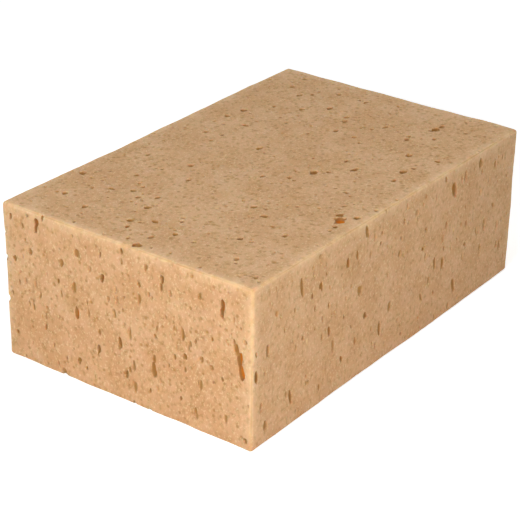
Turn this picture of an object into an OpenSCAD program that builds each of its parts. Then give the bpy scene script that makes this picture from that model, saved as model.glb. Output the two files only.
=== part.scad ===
// Cleaning sponge: one block of open-cell foam, cut on all six sides with a
// blade and left bare. X is its length, Y its width and Z its height. The
// origin is the middle of the underside, and the block rests on that face.
//
// The foam rose along Z while it set, so its large voids are taller than they
// are wide. On the sides they show as upright slots, and on the top and the
// underside as round holes.

/* [Block] */
// Length of the block
block_l = 170; // [120:1:240]
// Width of the block
block_w = 109; // [80:1:160]
// Height of the block
block_h = 60.5; // [40:0.5:90]
// Radius to which the cut edges have softened
edge_r = 1.2; // [0.6:0.1:4]

/* [Voids] */
// Width of a typical large void
void_w = 2; // [1:0.1:3]
// Height of a typical large void
void_h = 5; // [3:0.1:7]
// Depth of a void's axis inside a side face
void_sink = 0.2; // [0.1:0.05:0.4]
// Spacing of the voids that are scattered between the large ones
void_pitch = 17.5; // [14:0.5:25]

/* [Hidden] */

// Fragments round a softened edge
EDGE_FN = 24;

// A void is an almond with this many sides. Its rings, from the bottom up, are
// its lower shoulder, its waist and its upper shoulder: each has its share of
// the void's radius, and its place as a share of the height from the waist.
VOID_SIDES = 8;
VOID_RINGS = [[0.76, -0.28], [1, 0], [0.76, 0.28]];

// A void's faces. Point 0 is the lower tip, then come the rings, and the
// upper tip is last. Each side has a face at either tip and one between rings.
UPPER_RING = (len(VOID_RINGS) - 1) * VOID_SIDES;
VOID_FACES = [
    for (i = [0 : VOID_SIDES - 1])
        let (
            here = i + 1,
            next = (i + 1) % VOID_SIDES + 1
        )
        each concat(
            [[0, here, next]],
            [
                for (low = [0 : VOID_SIDES : UPPER_RING - VOID_SIDES])
                    let (high = low + VOID_SIDES)
                    [here + low, here + high, next + high, next + low]
            ],
            [[UPPER_RING + VOID_SIDES + 1, next + UPPER_RING, here + UPPER_RING]]
        )
];

// Large voids, placed by hand. Each row is the place across the face and up
// it, in percent of the face, then the width and the height in typical voids.
// The end face is read from the edge that it shares with the front face.
END_VOIDS = [
    [4, 50.5, 1.2, 1.6], [5, 60.5, 1, 1.3], [11, 83.5, 1.1, 1.2],
    [19.5, 30, 1, 1], [21.5, 11.5, 1.2, 0.9], [25.5, 44.5, 1.3, 0.6],
    [26.5, 57.5, 1.3, 1.1], [34, 86, 0.8, 1.1], [38, 28, 1.3, 1.3],
    [43.5, 70, 0.9, 1], [47.5, 44.5, 1, 1.1], [51.5, 37, 1.1, 1],
    [58, 74.5, 1.1, 0.8], [60.5, 28, 1, 0.7], [69, 14, 0.9, 0.7],
    [69, 83.5, 1.5, 1], [69.5, 44.5, 1.2, 1], [70, 61, 1.2, 1.1],
    [75, 74.5, 1.1, 0.7], [85.5, 93.5, 1.2, 0.9], [95.5, 66, 0.9, 0.6]
];

// The front face is read from the edge that it shares with the end face
FRONT_VOIDS = [
    [2, 46, 1.2, 1], [5, 58, 0.9, 1.1], [13, 18, 1.1, 1.4],
    [16, 83.5, 1.3, 1.6], [22.5, 77, 1.2, 0.7], [26, 44, 1.2, 0.8],
    [27.5, 31.5, 0.9, 1.2], [32, 80, 1.2, 1], [35.5, 26, 0.9, 0.8],
    [36.5, 57, 1.6, 1], [39, 39, 1.2, 0.7], [39, 92.5, 1.5, 1.2],
    [44.5, 22.5, 1.3, 1.2], [48, 33, 1.2, 1], [61, 25, 1, 1],
    [66.5, 41.5, 1.1, 1.4], [69.5, 38, 1.1, 1.2], [72.5, 85, 2, 1.3],
    [75, 16.5, 1.5, 1.4], [77.5, 90, 1, 1], [84, 91.5, 1.3, 1.2],
    [87.5, 46.5, 1.2, 1.4], [90.5, 84.5, 1, 0.8], [95, 23, 1.1, 1.1]
];

// The top is read along its length from the end face, then back from the front
TOP_VOIDS = [
    [1.5, 45.5, 1.8, 1], [6, 46, 1.2, 0.8], [8.5, 76.5, 1.3, 1],
    [9.5, 58.5, 1.5, 1], [12, 52, 1.3, 0.8], [16, 23.5, 1.1, 1],
    [16, 60.5, 1.4, 1], [20.5, 72.5, 1.1, 0.8], [21, 94.5, 1.3, 1],
    [22.5, 14, 1.1, 0.8], [27.5, 27.5, 1.3, 1], [29.5, 34, 1.3, 0.8],
    [32, 63.5, 1.2, 0.8], [34.5, 6.5, 1.2, 1.4], [36, 8, 1.1, 1.4],
    [38, 70.5, 1.2, 1], [43, 46.5, 1.1, 0.8], [51, 34.5, 1.7, 1.2],
    [54.5, 61.5, 1.3, 0.8], [58, 25.5, 1.3, 1], [63.5, 77.5, 1.3, 1],
    [64, 12, 1.5, 1.2], [70.5, 86.5, 1.5, 1], [71.5, 17.5, 1.3, 1],
    [73.5, 49.5, 1.2, 0.8], [80, 26, 1.4, 1], [82, 53.5, 1.3, 1],
    [84, 63.5, 1.3, 1], [86.5, 79.5, 1.4, 0.8], [88, 22.5, 1.7, 1],
    [92.5, 68.5, 1.2, 0.8]
];

// Even random numbers from 0 to 1, each worked out from the one before it
function chances(count, seed) = [
    for (i = 0, x = seed; i < count; i = i + 1, x = x * 16807 % 2147483647)
        x / 2147483647
];

// True if no large void lies within half a spacing of a place on the face
function is_clear(place, large, size) = len([
    for (row = large)
        if (norm(place - [row.x * size.x, row.y * size.y] / 100) < void_pitch / 2)
            row
]) == 0;

// Smaller voids for a face: one at a random place in each cell of a net of
// squares, in the rows of the lists above. Cells with a large void have none.
function scattered(size, large, seed) = let (
    across = floor(size.x / void_pitch),
    up = floor(size.y / void_pitch),
    chance = chances(across * up * 4, seed)
) [
    for (i = [0 : across - 1], j = [0 : up - 1])
        let (
            first = (i * up + j) * 4,
            share = [
                (i + 0.2 + 0.6 * chance[first]) / across,
                (j + 0.2 + 0.6 * chance[first + 1]) / up
            ],
            place = [share.x * size.x, share.y * size.y]
        )
        if (is_clear(place, large, size))
            [
                share.x * 100,
                share.y * 100,
                0.6 + 0.6 * chance[first + 2],
                0.5 + 0.7 * chance[first + 3]
            ]
];

// A rectangle with rounded corners, middle at the origin
module rounded_rectangle(size, r) {
    square([size.x - 2 * r, size.y], center = true);
    square([size.x, size.y - 2 * r], center = true);
    for (sx = [-1, 1], sy = [-1, 1])
        translate([sx * (size.x / 2 - r), sy * (size.y / 2 - r)])
            circle(r, $fn = EDGE_FN);
}

// The cut block: what its three rounded outlines have in common
module block() {
    translate([0, 0, block_h / 2])
        intersection() {
            linear_extrude(block_h, center = true)
                rounded_rectangle([block_l, block_w], edge_r);
            rotate([90, 0, 0])
                linear_extrude(block_w, center = true)
                    rounded_rectangle([block_l, block_h], edge_r);
            rotate([90, 0, 90])
                linear_extrude(block_l, center = true)
                    rounded_rectangle([block_w, block_h], edge_r);
        }
}

// A void that stands along Z, with its waist at the origin
module foam_void(wide, tall) {
    polyhedron(
        concat(
            [[0, 0, -tall / 2]],
            [
                for (ring = VOID_RINGS, i = [0 : VOID_SIDES - 1])
                    let (
                        r = ring.x * wide / 2,
                        turn = (i + 0.5) * 360 / VOID_SIDES
                    )
                    [r * cos(turn), r * sin(turn), ring.y * tall]
            ],
            [[0, 0, tall / 2]]
        ),
        VOID_FACES
    );
}

// The voids of a side face, which stands on the X axis and looks along -Y
module side_voids(size, rows) {
    for (row = rows)
        translate([row.x * size.x / 100, void_sink, row.y * size.y / 100])
            foam_void(row[2] * void_w, row[3] * void_h);
}

// The voids of a level face, which lies on z = 0 from the origin
module level_voids(size, rows) {
    for (row = rows)
        translate([row.x * size.x / 100, row.y * size.y / 100, 0])
            foam_void(row[2] * void_w, row[3] * void_h);
}

// The end face and the front face, whose large voids are placed by hand
module end_and_front_voids() {
    end_size = [block_w, block_h];
    front_size = [block_l, block_h];
    translate([-block_l / 2, -block_w / 2, 0])
        mirror([1, -1, 0])
            side_voids(end_size, concat(END_VOIDS, scattered(end_size, END_VOIDS, 7100)));
    translate([-block_l / 2, -block_w / 2, 0])
        side_voids(front_size, concat(FRONT_VOIDS, scattered(front_size, FRONT_VOIDS, 7200)));
}

// The far end and the back, which have scattered voids alone
module far_side_voids() {
    end_size = [block_w, block_h];
    back_size = [block_l, block_h];
    translate([block_l / 2, -block_w / 2, 0])
        rotate(90)
            side_voids(end_size, scattered(end_size, [], 7300));
    translate([block_l / 2, block_w / 2, 0])
        rotate(180)
            side_voids(back_size, scattered(back_size, [], 7400));
}

// The top and the underside. The middle of the underside stays whole.
module top_and_bottom_voids() {
    size = [block_l, block_w];
    middle = [[50, 50]];
    translate([-block_l / 2, -block_w / 2, block_h])
        level_voids(size, concat(TOP_VOIDS, scattered(size, TOP_VOIDS, 7500)));
    translate([-block_l / 2, -block_w / 2, 0])
        level_voids(size, scattered(size, middle, 7600));
}

module foam_block() {
    color("#cfa577")
        difference() {
            block();
            end_and_front_voids();
            far_side_voids();
            top_and_bottom_voids();
        }
}

foam_block();
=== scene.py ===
"""The looks of a cleaning sponge: a cut block of honey-coloured open-cell foam.

The block is one closed mesh. Its skin is a rounded box with the slight waves
that a band knife leaves, and its voids are almond-shaped hollows cut out of it.
The foam rose along Z while it set, so voids are tall on the sides and round on
the top.
"""
import logging
import math
from dataclasses import dataclass, field
from enum import Enum
from typing import Any

import bpy
import numpy as np
from mathutils import Matrix, Vector


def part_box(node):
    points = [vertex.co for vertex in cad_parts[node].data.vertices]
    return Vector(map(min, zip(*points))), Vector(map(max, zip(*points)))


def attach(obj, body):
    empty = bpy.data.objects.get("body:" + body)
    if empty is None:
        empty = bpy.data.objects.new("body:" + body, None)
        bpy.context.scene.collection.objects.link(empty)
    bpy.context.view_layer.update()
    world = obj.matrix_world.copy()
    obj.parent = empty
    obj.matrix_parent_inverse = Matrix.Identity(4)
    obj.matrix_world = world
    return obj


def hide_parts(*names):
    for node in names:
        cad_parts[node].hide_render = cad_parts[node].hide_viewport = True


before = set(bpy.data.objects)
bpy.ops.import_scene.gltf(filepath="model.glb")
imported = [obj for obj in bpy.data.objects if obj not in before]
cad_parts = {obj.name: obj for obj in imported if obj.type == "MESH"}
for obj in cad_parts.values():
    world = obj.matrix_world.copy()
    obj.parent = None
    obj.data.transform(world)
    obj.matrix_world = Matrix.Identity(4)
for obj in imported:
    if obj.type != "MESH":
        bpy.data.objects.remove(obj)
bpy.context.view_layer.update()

LOG = logging.getLogger("sponge")
MM = 0.001


class Face(Enum):
    """A face of the block, as the axis that it looks along and which way."""

    END = (0, -1)
    FAR_END = (0, 1)
    FRONT = (1, -1)
    BACK = (1, 1)
    UNDERSIDE = (2, -1)
    TOP = (2, 1)

    @property
    def axis(self) -> int:
        """Index of the axis that the face looks along."""
        return self.value[0]

    @property
    def side(self) -> int:
        """1 if the face looks the axis's way, or -1 if it looks the other way."""
        return self.value[1]

    @property
    def across(self) -> tuple[int, int]:
        """Indexes of the two axes that lie in the face."""
        return tuple(i for i in range(3) if i != self.axis)


@dataclass(frozen=True)
class LargeVoid:
    """A void at a given place.

    Args:
        face: the face that it opens through.
        along: place along the face's first axis, in percent of the face.
        up: place along the face's second axis, in percent of the face.
        wide: width of the mouth in mm.
        tall: height of the mouth in mm, or its other width on a level face.
        deep: depth in mm.
        lean: turn in the plane of the face, in degrees.
    """

    face: Face
    along: float
    up: float
    wide: float
    tall: float
    deep: float = 1.4
    lean: float = 0.0


# The end face, read from its edge with the front face and from the underside
END_VOIDS = (
    (4.0, 48.0, 2.4, 6.5, 3.0, 6), (4.6, 55.0, 2.2, 6.5, 3.2, 6), (5.6, 61.0, 1.8, 5.0, 2.4, 8),
    (11.0, 85.5, 2.1, 3.8, 3.2, 2), (11.2, 80.5, 1.9, 4.2, 2.4, 0), (19.5, 30.0, 1.9, 5.0, 1.2, -3),
    (19.0, 46.5, 1.7, 3.0, 1.2, 0), (21.5, 12.0, 2.2, 3.6, 1.0, 0), (21.0, 9.0, 1.6, 3.0, 1.0, 0),
    (25.5, 44.5, 2.4, 2.6, 1.8, 0), (25.5, 36.0, 1.5, 2.8, 1.0, 0), (26.5, 57.5, 2.6, 5.4, 1.3, 0),
    (32.0, 34.5, 1.2, 2.4, 0.9, 0), (34.0, 87.0, 1.6, 3.4, 1.8, -4), (34.4, 82.0, 1.5, 3.2, 1.3, 0),
    (38.0, 28.0, 2.6, 6.6, 1.9, 4), (43.5, 69.5, 1.8, 5.0, 1.0, 12), (40.4, 91.0, 1.6, 3.0, 1.0, 0),
    (45.5, 12.0, 2.2, 4.8, 1.0, 6), (46.0, 25.5, 1.8, 5.0, 1.0, 0), (47.5, 44.5, 1.9, 5.5, 1.0, 4),
    (49.0, 18.0, 1.9, 3.8, 2.0, -8), (51.5, 37.0, 2.1, 5.0, 1.9, 6), (53.5, 54.5, 1.7, 4.2, 1.0, 8),
    (55.8, 62.8, 1.3, 2.4, 0.9, 0), (58.2, 74.0, 2.0, 3.8, 2.1, -10), (60.5, 27.5, 2.0, 3.6, 2.1, 0),
    (60.0, 38.5, 1.5, 3.0, 0.8, 0), (64.5, 48.0, 1.6, 4.4, 0.8, 8), (65.0, 54.5, 1.2, 2.2, 0.9, 0),
    (69.0, 14.0, 1.7, 3.4, 1.5, -6), (65.8, 11.2, 1.3, 1.8, 0.9, 0), (68.6, 84.0, 2.9, 3.6, 1.5, 0),
    (69.5, 45.0, 2.1, 4.6, 2.6, 4), (70.2, 61.0, 2.3, 5.4, 1.2, -6), (75.2, 74.5, 2.1, 3.2, 1.7, 0),
    (75.8, 54.0, 1.5, 4.0, 0.8, 8), (77.0, 61.5, 1.4, 2.2, 1.2, 0), (75.8, 3.0, 2.2, 2.6, 1.4, 0),
    (83.0, 28.0, 1.4, 2.8, 1.0, -8), (85.0, 48.0, 1.3, 3.2, 0.8, 0), (82.2, 41.0, 1.3, 2.0, 0.9, 0),
    (85.3, 94.5, 2.4, 3.0, 3.0, 0), (85.6, 90.0, 1.7, 3.4, 2.4, 0), (88.5, 74.0, 1.9, 3.2, 1.1, 0),
    (91.6, 89.0, 1.8, 2.8, 1.1, 6), (95.5, 66.0, 1.7, 2.8, 1.8, 0), (97.4, 42.5, 1.8, 2.2, 1.1, 0),
    (2.2, 6.0, 1.7, 2.4, 1.2, 0), (6.6, 65.0, 1.3, 3.0, 1.4, 0), (21.3, 56.5, 1.3, 2.0, 1.1, 0),
    (14.9, 61.8, 1.1, 1.9, 1.0, 0), (15.0, 44.0, 1.6, 2.3, 1.2, 0), (19.6, 85.0, 1.7, 2.8, 1.1, 0),
    (27.2, 16.5, 1.3, 2.2, 1.1, 0), (29.8, 59.8, 1.4, 3.0, 0.8, 0), (14.3, 35.2, 1.5, 1.5, 1.0, 0),
    (99.6, 64.5, 2.4, 2.6, 2.2, 0), (99.8, 37.5, 2.8, 3.4, 2.6, 0), (99.8, 81.0, 1.6, 2.2, 1.6, 0),
    (75.8, 0.2, 3.2, 2.6, 2.2, 0), (46.3, 0.2, 2.6, 2.4, 1.8, 0), (26.0, 0.1, 1.8, 2.0, 1.4, 0),
)

# The front face, read from its edge with the end face and from the underside
FRONT_VOIDS = (
    (1.4, 46.0, 2.2, 5.0, 2.4, 4), (4.0, 45.0, 1.4, 2.0, 1.2, 0), (4.8, 58.0, 1.8, 5.4, 1.8, 0),
    (4.4, 11.5, 2.2, 4.6, 1.2, 0), (3.0, 25.0, 1.9, 3.8, 0.9, 0), (7.6, 77.4, 1.7, 2.0, 1.1, 0),
    (11.4, 22.0, 1.8, 3.0, 1.1, 0), (12.8, 18.5, 2.0, 6.4, 1.8, 8), (15.9, 84.0, 2.3, 7.6, 2.0, 8),
    (16.7, 51.3, 1.4, 2.2, 1.1, 0), (13.8, 72.0, 1.5, 2.4, 0.8, 0), (19.5, 73.8, 1.4, 2.4, 1.5, 0),
    (21.9, 95.8, 1.7, 1.9, 1.1, 0), (22.5, 77.0, 2.2, 2.8, 2.4, 0), (22.9, 75.0, 1.6, 3.0, 1.4, 0),
    (23.3, 55.0, 1.6, 2.6, 0.8, 0), (25.5, 61.5, 1.5, 2.6, 1.1, 0), (25.8, 44.0, 2.2, 4.0, 1.6, 8),
    (27.3, 33.0, 1.7, 5.6, 1.4, 10), (31.0, 47.5, 1.2, 2.2, 1.3, 0), (32.1, 80.4, 2.2, 4.6, 1.8, 4),
    (35.4, 81.5, 1.5, 4.6, 1.4, 6), (38.6, 93.0, 2.6, 5.8, 1.5, 12), (36.6, 57.5, 2.8, 4.6, 1.6, 8),
    (38.9, 38.8, 2.2, 3.0, 2.3, 0), (35.4, 26.2, 1.6, 3.8, 1.6, 4), (30.5, 20.5, 1.7, 3.0, 1.3, 16),
    (44.8, 22.5, 2.4, 6.0, 2.3, 4), (48.3, 33.0, 2.1, 4.8, 1.3, 6), (41.6, 26.5, 1.3, 2.6, 1.0, 0),
    (40.3, 76.5, 1.5, 4.2, 0.9, 0), (52.8, 84.5, 1.5, 2.4, 1.2, 0), (51.8, 20.0, 1.5, 2.0, 1.2, 0),
    (57.6, 85.0, 2.4, 3.4, 0.8, 0), (61.6, 70.0, 1.6, 2.6, 1.2, 0), (60.9, 58.0, 2.4, 2.2, 1.3, 0),
    (62.2, 51.5, 1.3, 2.8, 1.0, 0), (61.0, 24.5, 1.7, 5.0, 1.2, 20), (66.4, 41.5, 2.0, 6.6, 1.3, 4),
    (69.7, 38.2, 2.1, 5.4, 2.2, 0), (69.9, 48.5, 1.4, 2.2, 1.2, 0), (66.4, 22.2, 1.7, 2.0, 1.2, 0),
    (69.0, 95.5, 2.2, 2.4, 1.2, 0), (72.6, 85.5, 3.8, 6.2, 2.1, 12), (77.3, 90.0, 1.9, 4.8, 1.5, 0),
    (83.8, 92.0, 2.6, 4.8, 1.5, 0), (79.1, 41.3, 2.6, 1.9, 1.2, -20), (78.8, 56.0, 1.8, 3.0, 0.9, 0),
    (75.0, 17.0, 2.7, 6.8, 1.6, 16), (84.3, 71.5, 2.2, 3.0, 0.7, 0), (87.3, 46.5, 2.2, 6.6, 1.1, 0),
    (86.0, 31.5, 1.9, 3.6, 1.0, 0), (90.3, 84.5, 1.8, 3.8, 1.3, 0), (90.8, 56.0, 1.7, 2.8, 1.2, 0),
    (93.2, 39.5, 1.8, 4.6, 1.0, 0), (95.2, 23.2, 2.1, 5.2, 1.2, 0), (93.8, 86.5, 1.7, 2.8, 1.0, 0),
)

# The top, read along its length from the end face and back from the front face
TOP_VOIDS = (
    (34.6, 6.4, 3.6, 2.4, 3.4, 30), (35.8, 7.6, 4.4, 2.6, 4.2, 32), (37.4, 9.4, 3.2, 2.2, 3.0, 30),
    (38.2, 3.8, 2.8, 2.2, 2.2, 0), (32.1, 5.5, 2.0, 1.8, 2.4, 0), (29.9, 5.3, 1.7, 1.5, 1.6, 0),
    (41.4, 12.0, 2.4, 1.3, 1.6, 30), (51.4, 34.8, 3.8, 2.6, 3.0, 10), (88.2, 22.6, 3.8, 2.8, 2.6, 0),
    (90.4, 22.2, 2.6, 2.2, 2.2, 0), (86.8, 23.4, 2.0, 2.2, 1.8, 0), (58.0, 25.4, 3.6, 1.9, 2.4, 10),
    (63.7, 11.8, 2.7, 2.5, 2.8, 0), (54.8, 61.4, 3.0, 2.1, 2.0, 0), (27.4, 27.6, 2.8, 2.0, 2.2, 36),
    (29.7, 34.2, 2.4, 2.2, 2.0, 0), (16.0, 23.6, 2.3, 1.8, 2.4, 0), (22.5, 14.0, 2.2, 2.0, 1.9, 0),
    (8.4, 16.0, 2.0, 1.8, 1.8, 0), (16.1, 60.5, 3.0, 2.3, 2.2, 0), (9.3, 58.8, 2.6, 2.6, 2.0, 0),
    (6.8, 56.6, 2.3, 1.8, 2.0, 0), (11.9, 52.0, 2.2, 2.6, 1.9, 0), (5.9, 46.0, 2.3, 2.2, 1.8, 0),
    (1.5, 45.6, 3.2, 3.0, 2.8, 0), (9.9, 41.4, 2.1, 2.0, 2.2, 0), (20.7, 72.6, 2.2, 2.1, 2.0, 0),
    (21.2, 62.7, 2.6, 1.7, 2.0, 24), (18.9, 68.0, 2.2, 1.9, 1.9, 0), (8.6, 76.6, 2.6, 2.4, 2.0, 0),
    (18.7, 79.0, 1.8, 2.5, 1.8, 0), (11.1, 88.6, 2.4, 2.3, 1.8, 0), (20.9, 94.7, 2.8, 2.5, 2.2, 0),
    (27.2, 79.8, 2.6, 1.6, 1.6, 0), (31.8, 63.6, 2.6, 1.9, 1.9, 20), (38.2, 70.6, 2.4, 2.2, 1.8, 36),
    (43.2, 46.4, 2.4, 1.8, 1.8, 0), (46.0, 38.8, 1.9, 1.9, 1.8, 0), (47.3, 17.4, 1.9, 2.3, 1.8, 0),
    (73.5, 49.5, 2.7, 1.9, 2.2, 16), (79.4, 52.0, 2.4, 2.0, 1.8, 30), (81.7, 53.6, 2.8, 2.0, 1.8, 24),
    (71.6, 17.6, 2.6, 2.2, 2.2, 0), (79.2, 25.6, 3.0, 2.0, 2.0, 0), (81.0, 26.6, 2.2, 1.8, 1.6, 0),
    (63.5, 77.5, 2.3, 2.6, 2.0, 0), (70.6, 86.6, 3.0, 2.6, 2.2, 0), (65.6, 88.0, 2.6, 2.6, 1.6, 0),
    (55.0, 84.6, 2.4, 1.7, 1.9, 20), (84.1, 63.3, 3.0, 2.2, 2.0, 0), (92.4, 56.2, 2.7, 1.7, 2.0, 0),
    (92.6, 68.4, 2.7, 1.9, 1.8, 0), (79.4, 70.6, 2.2, 2.6, 1.6, 0), (58.5, 10.4, 2.4, 1.8, 2.0, 0),
    (66.5, 10.4, 1.9, 1.9, 1.8, 0), (60.9, 31.6, 2.4, 1.8, 1.8, 24), (83.2, 18.4, 2.4, 1.8, 1.8, 0),
    (82.4, 37.6, 3.2, 1.8, 1.8, 0), (72.8, 41.2, 1.9, 1.7, 1.8, 0), (73.0, 7.4, 2.2, 2.6, 1.6, 0),
    (90.3, 12.4, 1.9, 1.9, 1.6, 0), (86.4, 79.4, 3.2, 1.8, 1.8, 10), (90.0, 86.6, 2.6, 2.2, 1.8, 0),
    (95.9, 87.6, 2.2, 1.9, 1.6, 0), (4.6, 4.4, 2.3, 2.1, 1.4, 0), (37.0, 87.6, 2.2, 1.7, 1.6, 0),
)


def linear(colour: str) -> tuple[float, float, float, float]:
    """Turns an sRGB hex colour into linear light.

    Args:
        colour: six hex digits after a hash sign.

    Returns:
        Red, green, blue and an alpha of 1.
    """
    parts = [int(colour[i : i + 2], 16) / 255 for i in (1, 3, 5)]
    light = [p / 12.92 if p <= 0.04045 else ((p + 0.055) / 1.055) ** 2.4 for p in parts]
    return (*light, 1.0)


def add_node(tree: bpy.types.NodeTree, kind: str, values: dict | None = None,
             links: dict | None = None, **settings: Any) -> bpy.types.Node:
    """Adds a shader node.

    Args:
        tree: the node tree.
        kind: the node's type without its ShaderNode prefix.
        values: input name or number to its value.
        links: input name or number to the output that feeds it.
        **settings: properties of the node itself.

    Returns:
        The new node.
    """
    node = tree.nodes.new("ShaderNode" + kind)
    for name, value in settings.items():
        setattr(node, name, value)
    for key, value in (values or {}).items():
        node.inputs[key].default_value = value
    for key, source in (links or {}).items():
        tree.links.new(source, node.inputs[key])
    return node


def make_object(name: str, points: np.ndarray, faces: np.ndarray) -> bpy.types.Object:
    """Makes a mesh object from whole arrays.

    Args:
        name: the object's name.
        points: one row a vertex, in metres.
        faces: one row of four vertex indexes a face.

    Returns:
        The object, linked to the scene.
    """
    mesh = bpy.data.meshes.new(name)
    mesh.from_pydata(points.tolist(), [], faces.tolist())
    mesh.validate()
    made = bpy.data.objects.new(name, mesh)
    bpy.context.scene.collection.objects.link(made)
    return made


@dataclass(frozen=True)
class CutFoam:
    """Polyether foam of one honey colour, sawn with a band knife.

    The knife opens the cells, so the face is matt and finely pitted, with the
    walls of the cells catching the light. Light soaks a few millimetres in,
    which makes edges paler and the inside of a void amber.
    """

    skin: str = "#e1b48a"
    tan: str = "#d7a77b"
    cream: str = "#f6daae"
    edge: str = "#f3d2a6"
    olive: str = "#b58850"
    amber: str = "#e89636"
    ior: float = 1.45
    roughness: float = 0.92
    soak_mm: float = 2.5
    soak: float = 0.8
    mottle_mm: float = 11.0
    grain_mm: float = 1.4
    cell_mm: float = 0.7
    pit_mm: float = 2.4
    ragged_mm: float = 5.0
    rise: float = 0.75

    def build(self, half: Vector, centre: Vector) -> bpy.types.Material:
        """Builds the material.

        Args:
            half: half of the block's size.
            centre: the block's middle.

        Returns:
            The material.
        """
        made = bpy.data.materials.new("cut_polyether_foam")
        made.use_nodes = True
        tree = made.node_tree
        tree.nodes.clear()
        place = add_node(tree, "TexCoord").outputs["Object"]
        risen = add_node(tree, "Mapping", {"Scale": (1, 1, self.rise)}, {"Vector": place}).outputs[0]

        mottle = self.noise(tree, place, self.mottle_mm, detail=2.0)
        colour = self.blend(tree, self.stretch(tree, mottle, 0.35, 0.65),
                            linear(self.skin), linear(self.tan))
        grain = self.noise(tree, risen, self.grain_mm, detail=3.0)
        colour = self.blend(tree, self.stretch(tree, grain, 0.47, 0.70, 0.7), colour, linear(self.olive))
        cells = self.noise(tree, risen, self.cell_mm, detail=1.5)
        colour = self.blend(tree, self.stretch(tree, cells, 0.53, 0.68, 0.56), colour, linear(self.cream))

        pits = add_node(tree, "TexVoronoi", {"Scale": 1 / (self.pit_mm * MM), "Randomness": 1.0},
                        {"Vector": place})
        near = self.stretch(tree, pits.outputs["Distance"], 0.36, 0.14)
        chosen = self.stretch(tree, pits.outputs["Color"], 0.55, 0.60)
        pit = add_node(tree, "Math", links={0: near, 1: chosen}, operation="MULTIPLY").outputs[0]
        # Painted shade: the small pits are darkened towards olive, for the shade inside them.
        pit_shade = add_node(tree, "Math", {1: 0.65}, {0: pit}, operation="MULTIPLY").outputs[0]
        colour = self.blend(tree, pit_shade, colour, linear(self.olive))

        # Pale edges: partly the real paleness of thin foam, partly painted light that soaks in from the lit
        # faces.
        glow = self.edge_glow(tree, place, half, centre)
        colour = self.blend(tree, glow, colour, linear(self.edge))
        # Painted shade and painted light inside the voids, by their depth.
        colour = self.void_colour(tree, colour)

        relief = self.relief(tree, cells, grain, pit)
        shader = add_node(tree, "BsdfPrincipled",
                          {"Roughness": self.roughness, "IOR": self.ior, "Specular IOR Level": 0.1,
                           "Subsurface Weight": self.soak, "Subsurface Scale": self.soak_mm * MM,
                           "Subsurface Radius": (1.0, 0.6, 0.3)},
                          {"Base Color": colour, "Normal": relief})
        add_node(tree, "OutputMaterial", links={"Surface": shader.outputs["BSDF"]})
        return made

    @staticmethod
    def noise(tree: bpy.types.NodeTree, place: bpy.types.NodeSocket, size_mm: float,
              detail: float) -> bpy.types.NodeSocket:
        """Noise whose lumps are about size_mm apart, from 0 to 1."""
        node = add_node(tree, "TexNoise", {"Scale": 1 / (size_mm * MM), "Detail": detail,
                                           "Roughness": 0.55}, {"Vector": place})
        return node.outputs["Fac"]

    @staticmethod
    def stretch(tree: bpy.types.NodeTree, source: bpy.types.NodeSocket, low: float, high: float,
                top: float = 1.0) -> bpy.types.NodeSocket:
        """Carries low to 0 and high to top, smoothly, and holds the ends."""
        node = add_node(tree, "MapRange", {"From Min": low, "From Max": high, "To Max": top},
                        {"Value": source}, interpolation_type="SMOOTHSTEP")
        return node.outputs["Result"]

    @staticmethod
    def blend(tree: bpy.types.NodeTree, share: bpy.types.NodeSocket, first: Any,
              second: Any) -> bpy.types.NodeSocket:
        """Mixes two colours, each a socket or a colour, by share."""
        values = {}
        links = {0: share}
        for key, colour in ((6, first), (7, second)):
            target = links if isinstance(colour, bpy.types.NodeSocket) else values
            target[key] = colour
        node = add_node(tree, "Mix", values, links, data_type="RGBA")
        return node.outputs[2]

    def edge_glow(self, tree: bpy.types.NodeTree, place: bpy.types.NodeSocket, half: Vector,
                  centre: Vector) -> bpy.types.NodeSocket:
        """Share of the pale edge colour: most at an edge, and none from about 6 mm away.

        A point's depth below each pair of faces is half - |place - centre|. On
        the skin the least of the three is 0, so the next one is the way to the
        nearest edge: max(min(a, b), min(max(a, b), c)). The pale band is partly the
        real paleness of thin foam at a rounded edge and partly painted light that
        soaks in from the lit faces. Near the floor it fades out, which paints the
        shade at the foot of the block.
        """
        away = add_node(tree, "VectorMath", {1: centre}, {0: place}, operation="SUBTRACT")
        size = add_node(tree, "VectorMath", links={0: away.outputs[0]}, operation="ABSOLUTE")
        inside = add_node(tree, "VectorMath", {0: half}, {1: size.outputs[0]}, operation="SUBTRACT")
        parts = add_node(tree, "SeparateXYZ", links={0: inside.outputs[0]}).outputs
        least = add_node(tree, "Math", links={0: parts[0], 1: parts[1]}, operation="MINIMUM")
        most = add_node(tree, "Math", links={0: parts[0], 1: parts[1]}, operation="MAXIMUM")
        other = add_node(tree, "Math", links={0: most.outputs[0], 1: parts[2]}, operation="MINIMUM")
        way = add_node(tree, "Math", links={0: least.outputs[0], 1: other.outputs[0]}, operation="MAXIMUM")
        uneven = self.stretch(tree, self.noise(tree, place, self.ragged_mm, detail=3.0), 0.2, 0.8, 2.4 * MM)
        way = add_node(tree, "Math", links={0: way.outputs[0], 1: uneven}, operation="ADD").outputs[0]
        # Painted light: the pale band along the edges, partly the real paleness of thin foam at a rounded
        # edge.
        broad = self.stretch(tree, way, 6.5 * MM, 1.0 * MM, 0.42)
        line = self.stretch(tree, way, 2.4 * MM, 0.9 * MM, 0.3)
        glow = add_node(tree, "Math", links={0: broad, 1: line}, operation="ADD").outputs[0]
        height = add_node(tree, "SeparateXYZ", links={0: place}).outputs[2]
        # Painted shade: the pale band fades out within about 9 mm of the floor, where the foot of the block
        # is in shade.
        risen = self.stretch(tree, height, 1.0 * MM, 9.0 * MM)
        return add_node(tree, "Math", links={0: glow, 1: risen}, operation="MULTIPLY").outputs[0]

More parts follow.
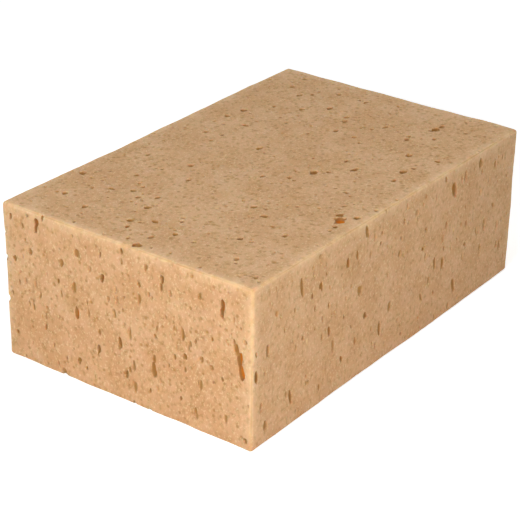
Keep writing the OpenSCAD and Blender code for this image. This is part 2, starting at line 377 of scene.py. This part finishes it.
    def void_colour(self, tree: bpy.types.NodeTree, skin: bpy.types.NodeSocket) -> bpy.types.NodeSocket:
        """Painted shade in olive just inside a void's mouth, and painted light in amber further down, where
        light that soaks through the foam glows.
        """
        depth = add_node(tree, "Attribute", attribute_name="depth_mm").outputs["Fac"]
        colour = self.blend(tree, self.stretch(tree, depth, -0.1, 0.6, 0.95), skin, linear(self.olive))
        return self.blend(tree, self.stretch(tree, depth, 1.1, 2.3), colour, linear(self.amber))

    def relief(self, tree: bpy.types.NodeTree, cells: bpy.types.NodeSocket,
               grain: bpy.types.NodeSocket, pit: bpy.types.NodeSocket) -> bpy.types.NodeSocket:
        """The cut cells, the coarser grain and the pits, as bump."""
        fine = add_node(tree, "Bump", {"Strength": 0.8, "Distance": 0.05 * MM}, {"Height": cells})
        rough = add_node(tree, "Bump", {"Strength": 0.6, "Distance": 0.08 * MM},
                         {"Height": grain, "Normal": fine.outputs[0]})
        holes = add_node(tree, "Bump", {"Strength": 0.8, "Distance": 0.2 * MM},
                         {"Height": pit, "Normal": rough.outputs[0]}, invert=True)
        return holes.outputs[0]


@dataclass
class FoamBlock:
    """The block of foam: its skin, its voids and its finish.

    Args:
        low: lowest corner of the block that it stands for, in metres.
        high: highest corner, in metres.
    """

    low: np.ndarray
    high: np.ndarray
    edge_r: float = 1.2 * MM
    edge_steps: int = 4
    skin_step: float = 2.6 * MM
    wave_lengths_mm: tuple[float, ...] = (48.0, 31.0, 19.0, 11.0, 6.0)
    wave_heights_mm: tuple[float, ...] = (0.16, 0.12, 0.09, 0.07, 0.05)
    voids_per_cm2: float = 1.5
    level_spread: float = 1.15
    level_depth: float = 0.8
    void_rings: int = 6
    void_sides: int = 12
    sink: float = -0.3
    deep_sink: float = 0.1
    deep_mm: float = 2.3
    shallow: float = 0.75
    seed: int = 4
    foam: CutFoam = field(default_factory=CutFoam)

    def lines(self, axis: int) -> np.ndarray:
        """Grid lines along an axis: even in the middle, and close over the rounded edges.

        A line at the angle t of an edge stands at edge_r * (1 - tan t).
        """
        angles = np.linspace(math.pi / 4, 0, self.edge_steps + 1)
        rim = self.edge_r * (1 - np.tan(angles))
        size = self.high[axis] - self.low[axis]
        count = round((size - 2 * self.edge_r) / self.skin_step)
        middle = np.linspace(self.edge_r, size - self.edge_r, count + 1)[1:-1]
        return self.low[axis] + np.concatenate([rim, middle, size - rim[::-1]])

    def skin(self) -> tuple[np.ndarray, np.ndarray]:
        """The rounded box, as a closed grid of four-sided faces.

        Each point starts on the sharp box. Its nearest point on the core, which
        is the box less edge_r all round, is where its normal starts, and the
        point moves to edge_r from there, plus the knife's waves.

        Returns:
            Points and faces.
        """
        lines = [self.lines(axis) for axis in range(3)]
        points = []
        faces = []
        start = 0
        for face in Face:
            u, v = face.across
            grid_u, grid_v = np.meshgrid(lines[u], lines[v], indexing="ij")
            level = self.high[face.axis] if face.side > 0 else self.low[face.axis]
            grid = np.empty((*grid_u.shape, 3))
            grid[..., u] = grid_u
            grid[..., v] = grid_v
            grid[..., face.axis] = level
            index = start + np.arange(grid_u.size).reshape(grid_u.shape)
            quads = np.stack([index[:-1, :-1], index[1:, :-1], index[1:, 1:], index[:-1, 1:]], axis=-1)
            outwards = (face.side > 0) == (face.axis != 1)
            faces.append((quads if outwards else quads[..., ::-1]).reshape(-1, 4))
            points.append(grid.reshape(-1, 3))
            start += grid_u.size
        points = np.concatenate(points)
        faces = np.concatenate(faces)
        _, first, same = np.unique(np.round(points / (0.001 * MM)).astype(np.int64), axis=0,
                                   return_index=True, return_inverse=True)
        points = points[first]
        faces = same.reshape(-1)[faces]
        core = np.clip(points, self.low + self.edge_r, self.high - self.edge_r)
        normal = points - core
        normal /= np.linalg.norm(normal, axis=1, keepdims=True)
        points = core + normal * (self.edge_r + self.waves(points))[:, None]
        points[:, 2] = np.maximum(points[:, 2], self.low[2])
        return points, faces

    def waves(self, points: np.ndarray) -> np.ndarray:
        """The knife's waves: for each wavelength, height * sin(direction . point + phase)."""
        chance = np.random.default_rng(self.seed)
        total = np.zeros(len(points))
        for length, height in zip(self.wave_lengths_mm, self.wave_heights_mm):
            way = chance.normal(size=(3, 3))
            way /= np.linalg.norm(way, axis=1, keepdims=True)
            phase = chance.uniform(0, 2 * math.pi, 3)
            turn = points @ way.T * (2 * math.pi / (length * MM)) + phase
            total += height * MM * np.sin(turn).mean(axis=1)
        return total

    def placed_voids(self) -> list[LargeVoid]:
        """The voids that are listed in the tables."""
        tables = {Face.END: END_VOIDS, Face.FRONT: FRONT_VOIDS, Face.TOP: TOP_VOIDS}
        return [LargeVoid(face, *row) for face, table in tables.items() for row in table]

    def lobes(self, voids: list[LargeVoid]) -> list[LargeVoid]:
        """A smaller lobe on the flank of each void, which makes its outline ragged.

        Args:
            voids: the voids.

        Returns:
            Their lobes.
        """
        chance = np.random.default_rng(self.seed + 2)
        size = (self.high - self.low) / MM
        made = []
        for void in voids:
            u, v = void.face.across
            turn = chance.uniform(0, 2 * math.pi)
            share = chance.uniform(0.45, 0.65)
            along = void.along + 45 * void.wide * math.cos(turn) / size[u]
            up = void.up + 38 * void.tall * math.sin(turn) / size[v]
            made.append(LargeVoid(void.face, along, up, share * void.wide, share * void.tall,
                                  share * void.deep, void.lean))
        return made

    def scattered_voids(self, face: Face, placed: list[LargeVoid]) -> list[LargeVoid]:
        """Smaller voids at random places on a face, clear of the large ones.

        Args:
            face: the face that they open through.
            placed: the voids that are on it already.

        Returns:
            The scattered voids.
        """
        u, v = face.across
        size = (self.high - self.low) / MM
        area_cm2 = size[u] * size[v] / 100
        chance = np.random.default_rng([self.seed, face.axis, face.side + 1])
        mine = np.array([(p.along, p.up) for p in placed if p.face is face]).reshape(-1, 2)
        count = round(area_cm2 * self.voids_per_cm2)
        full = len(mine) == 0
        count = round(count * 1.4) if full else count
        place = chance.uniform(0.5, 99.5, (count, 2))
        away = (place[:, None] - mine[None]) * np.array([size[u], size[v]]) / 100
        clear = np.linalg.norm(away, axis=2).min(axis=1, initial=99.0) > 2.6
        wide = 0.8 + (1.7 if full else 1.0) * chance.random(count) ** 2.2
        if face.axis == 2:
            tall = wide * chance.uniform(0.7, 1.2, count)
            deep = wide * chance.uniform(0.6, 1.0, count)
            lean = chance.uniform(-40, 60, count)
        else:
            tall = wide * chance.uniform(1.1, 2.6, count)
            deep = wide * chance.uniform(0.4, 0.8, count)
            lean = chance.normal(2, 6, count)
        rows = np.column_stack([place, wide, tall, deep, lean])[clear]
        return [LargeVoid(face, *row) for row in rows.tolist()]

    def hollows(self, voids: list[LargeVoid]) -> tuple[np.ndarray, np.ndarray, np.ndarray]:
        """The closed almonds that the voids are cut with.

        A void's point at the angles a round it and b from its tip is
        sin(b)**0.75 * (cos a, sin a) across and cos(b) along, times its half
        sizes and a slow ripple in a that makes no two alike.

        Args:
            voids: the voids.

        Returns:
            Points as an array of void, vertex and axis, faces of one void, and
            the reach of each void from its middle.
        """
        chance = np.random.default_rng(self.seed + 1)
        count = len(voids)
        a = np.linspace(0, 2 * math.pi, self.void_sides, endpoint=False)
        b = np.linspace(0, math.pi, self.void_rings + 1)[1:-1]
        b, a = (g.reshape(-1) for g in np.meshgrid(b, a, indexing="ij"))
        ripple = np.ones((count, len(a)))
        for fold in (2, 3, 5, 7):
            phase = chance.uniform(0, 2 * math.pi, (count, 1))
            ripple += chance.uniform(0.03, 0.13, (count, 1)) * np.sin(fold * a + phase + b)
        out = np.sin(b) ** 0.75 * ripple
        unit = np.stack([out * np.cos(a), out * np.sin(a), np.broadcast_to(np.cos(b), out.shape)], axis=2)
        tips = np.zeros((count, 2, 3))
        tips[:, 0, 2] = 1
        tips[:, 1, 2] = -1
        unit = np.concatenate([unit, tips], axis=1)

        size = self.high - self.low
        points = np.empty_like(unit)
        for i, void in enumerate(voids):
            u, v = void.face.across
            n = void.face.axis
            half = np.empty(3)
            spread = self.level_spread if n == 2 else 1.0
            half[u] = spread * void.wide / 2
            half[v] = spread * void.tall / 2
            sink = self.deep_sink if void.deep > self.deep_mm else self.sink
            depth = void.deep * (self.level_depth if n == 2 else 1.0)
            half[n] = self.shallow * depth / (1 + sink)
            middle = np.empty(3)
            middle[u] = self.low[u] + size[u] * void.along / 100
            middle[v] = self.low[v] + size[v] * void.up / 100
            face_level = self.high[n] if void.face.side > 0 else self.low[n]
            middle[n] = face_level - void.face.side * sink * half[n] * MM
            turn = math.radians(void.lean) * (-1 if n == 1 else 1)
            shape = unit[i] * half * MM
            lean = np.eye(3)
            lean[u, u] = lean[v, v] = math.cos(turn)
            lean[u, v] = math.sin(turn)
            lean[v, u] = -math.sin(turn)
            points[i] = shape @ lean.T + middle

        rings, sides = self.void_rings - 1, self.void_sides
        index = np.arange(rings * sides).reshape(rings, sides)
        after = np.roll(index, -1, axis=1)
        quads = np.stack([index[:-1], index[1:], after[1:], after[:-1]], axis=-1).reshape(-1, 4)
        top, bottom = rings * sides, rings * sides + 1
        caps = [(top, int(i), int(j)) for i, j in zip(index[0], after[0])]
        caps += [(bottom, int(j), int(i)) for i, j in zip(index[-1], after[-1])]
        reach = np.linalg.norm(points - points.mean(axis=1, keepdims=True), axis=2).max(axis=1)
        return points, quads.tolist() + caps, reach

    def cut(self, block: bpy.types.Object, voids: list[LargeVoid]) -> None:
        """Cuts the voids out of the block.

        Voids that could touch each other go into different cutters, so that no
        cutter passes through itself.

        Args:
            block: the skin's object.
            voids: the voids.
        """
        points, faces, reach = self.hollows(voids)
        middle = points.mean(axis=1)
        apart = np.linalg.norm(middle[:, None] - middle[None], axis=2)
        touching = apart < (reach[:, None] + reach[None])
        group = np.full(len(voids), -1)
        for i in range(len(voids)):
            taken = set(group[touching[i]].tolist())
            group[i] = min(g for g in range(len(voids)) if g not in taken)
        cutters = []
        for g in range(group.max() + 1):
            chosen = points[group == g]
            size = points.shape[1]
            mesh = bpy.data.meshes.new("cutter")
            all_faces = [tuple(k * size + i for i in f) for k in range(len(chosen)) for f in faces]
            mesh.from_pydata(chosen.reshape(-1, 3).tolist(), [], all_faces)
            cutter = bpy.data.objects.new("cutter", mesh)
            bpy.context.scene.collection.objects.link(cutter)
            change = block.modifiers.new("voids", "BOOLEAN")
            change.operation = "DIFFERENCE"
            change.solver = "MANIFOLD"
            change.object = cutter
            cutters.append(cutter)
        graph = bpy.context.evaluated_depsgraph_get()
        finished = bpy.data.meshes.new_from_object(block.evaluated_get(graph))
        block.modifiers.clear()
        block.data = finished
        for cutter in cutters:
            bpy.data.objects.remove(cutter)

    def mark_depth(self, block: bpy.types.Object) -> None:
        """Stores each vertex's depth below the skin, in mm, for the painted shade and light inside the
        voids.
        """
        count = len(block.data.vertices)
        co = np.empty(count * 3, np.float32)
        block.data.vertices.foreach_get("co", co)
        co = co.reshape(-1, 3)
        depth = np.minimum(co - self.low, self.high - co).min(axis=1) / MM
        store = block.data.attributes.new("depth_mm", "FLOAT", "POINT")
        store.data.foreach_set("value", (np.maximum(depth - 0.2, 0) / self.shallow).astype(np.float32))

    def smooth(self, block: bpy.types.Object) -> None:
        """Shades the mesh smooth, with a crisp line where a void meets the skin."""
        block.data.shade_smooth()
        block.data.set_sharp_from_angle(angle=math.radians(48))

    def build(self) -> bpy.types.Object:
        """Makes the finished block.

        Returns:
            Its object, at the origin, with its place in its mesh.
        """
        points, faces = self.skin()
        block = make_object("foam", points, faces)
        placed = self.placed_voids()
        voids = placed + self.lobes(placed)
        for face in Face:
            voids += self.scattered_voids(face, placed)
        self.cut(block, voids)
        self.mark_depth(block)
        self.smooth(block)
        half = Vector((self.high - self.low) / 2)
        centre = Vector((self.high + self.low) / 2)
        block.data.materials.clear()
        block.data.materials.append(self.foam.build(half, centre))
        block.data.calc_loop_triangles()
        LOG.info("foam: %d voids, %d triangles", len(voids), len(block.data.loop_triangles))
        return block


@dataclass(frozen=True)
class Studio:
    """The camera, the lamps and a plain pale floor."""

    azimuth: float = 36.25
    elevation: float = 26.609
    roll: float = 0.798
    distance_mm: float = 656.85
    focal_px: float = 1758.34
    shift_mm: tuple[float, float] = (4.377, 8.308)
    frame_px: int = 520
    sensor_mm: float = 36.0
    floor_colour: str = "#f4f3f1"

    def camera(self, centre: Vector) -> None:
        """Sets the camera where the photo was taken from.

        Args:
            centre: the block's middle.
        """
        az, el, roll = (math.radians(x) for x in (self.azimuth, self.elevation, self.roll))
        ahead = Vector((math.cos(el) * math.cos(az), math.cos(el) * math.sin(az), -math.sin(el)))
        right = ahead.cross(Vector((0, 0, 1))).normalized()
        up = right.cross(ahead)
        turned_right = math.cos(roll) * right + math.sin(roll) * up
        turned_up = -math.sin(roll) * right + math.cos(roll) * up
        place = centre - ahead * self.distance_mm * MM
        place -= (turned_right * self.shift_mm[0] + turned_up * self.shift_mm[1]) * MM
        data = bpy.data.cameras.new("camera")
        data.sensor_width = self.sensor_mm
        data.lens = self.focal_px / self.frame_px * self.sensor_mm
        data.clip_start = 0.01
        data.clip_end = 20.0
        camera = bpy.data.objects.new("camera", data)
        turn = Matrix((turned_right, turned_up, -ahead)).transposed().to_4x4()
        camera.matrix_world = Matrix.Translation(place) @ turn
        bpy.context.scene.collection.objects.link(camera)
        bpy.context.scene.camera = camera

    def lamp(self, name: str, place: tuple[float, float, float], target: tuple[float, float, float],
             size: float, watts: float) -> None:
        """Adds a square area lamp that looks at a point.

        Args:
            name: the lamp's name.
            place: where it stands, in metres.
            target: the point that it looks at.
            size: its side in metres.
            watts: its power.
        """
        data = bpy.data.lights.new(name, "AREA")
        data.size = size
        data.energy = watts
        lamp = bpy.data.objects.new(name, data)
        way = Vector(target) - Vector(place)
        lamp.matrix_world = Matrix.Translation(place) @ way.to_track_quat("-Z", "Y").to_matrix().to_4x4()
        lamp.visible_camera = False
        bpy.context.scene.collection.objects.link(lamp)

    def world(self, strength: float) -> None:
        """A white world that the camera sees as white, whatever light it gives."""
        world = bpy.data.worlds.new("studio")
        world.use_nodes = True
        tree = world.node_tree
        tree.nodes.clear()
        seen = self.seen_directly(tree)
        light = add_node(tree, "Background", {"Color": (1, 1, 1, 1), "Strength": strength})
        white = add_node(tree, "Background", {"Color": (1, 1, 1, 1), "Strength": 1.0})
        both = add_node(tree, "MixShader", links={0: seen, 1: light.outputs[0], 2: white.outputs[0]})
        add_node(tree, "OutputWorld", links={"Surface": both.outputs[0]})
        bpy.context.scene.world = world

    @staticmethod
    def seen_directly(tree: bpy.types.NodeTree) -> bpy.types.NodeSocket:
        """1 for a camera, glossy or transmission ray, and 0 for the rest."""
        path = add_node(tree, "LightPath").outputs
        some = add_node(tree, "Math", links={0: path["Is Camera Ray"], 1: path["Is Glossy Ray"]},
                        operation="MAXIMUM").outputs[0]
        return add_node(tree, "Math", links={0: some, 1: path["Is Transmission Ray"]},
                        operation="MAXIMUM").outputs[0]

    def floor(self) -> None:
        """A pale floor, lifted to white for the camera where no shadow falls."""
        reach = 3.0
        points = np.array([(-reach, -reach, 0), (reach, -reach, 0), (reach, reach, 0), (-reach, reach, 0)])
        floor = make_object("floor", points, np.array([[0, 1, 2, 3]]))
        paint = bpy.data.materials.new("matt_floor_paint")
        paint.use_nodes = True
        tree = paint.node_tree
        tree.nodes.clear()
        matt = add_node(tree, "BsdfDiffuse", {"Color": linear(self.floor_colour), "Roughness": 1.0})
        lift = add_node(tree, "Math", {1: 0.5}, {0: self.seen_directly(tree)}, operation="MULTIPLY")
        glow = add_node(tree, "Emission", {"Color": (1, 1, 1, 1)}, {"Strength": lift.outputs[0]})
        both = add_node(tree, "AddShader", links={0: matt.outputs[0], 1: glow.outputs[0]})
        add_node(tree, "OutputMaterial", links={"Surface": both.outputs[0]})
        floor.data.materials.append(paint)

    def build(self, centre: Vector) -> None:
        """Sets the whole stage round the block's middle."""
        self.camera(centre)
        self.world(0.29)
        self.lamp("key", (-0.6, -0.1, 0.3), (0.0, 0.0, 0.03), 0.3, 1.6)
        self.lamp("low", (-0.3, -0.35, 0.15), (0.0, 0.0, 0.03), 0.15, 0.6)
        self.lamp("overhead", (0.0, 0.0, 0.8), (0.0, 0.0, 0.03), 0.6, 1.6)
        self.floor()
        bpy.context.scene.view_settings.view_transform = "Standard"


def main() -> None:
    """Builds the stage and the sponge, and gives each piece its place in the frame."""
    logging.basicConfig(level=logging.INFO, format="%(name)s: %(message)s")
    low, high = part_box("foam_block")
    Studio().build((low + high) / 2)
    foam = FoamBlock(np.array(low), np.array(high)).build()
    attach(foam, "root")
    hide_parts("foam_block")


if __name__ == "__main__":
    main()
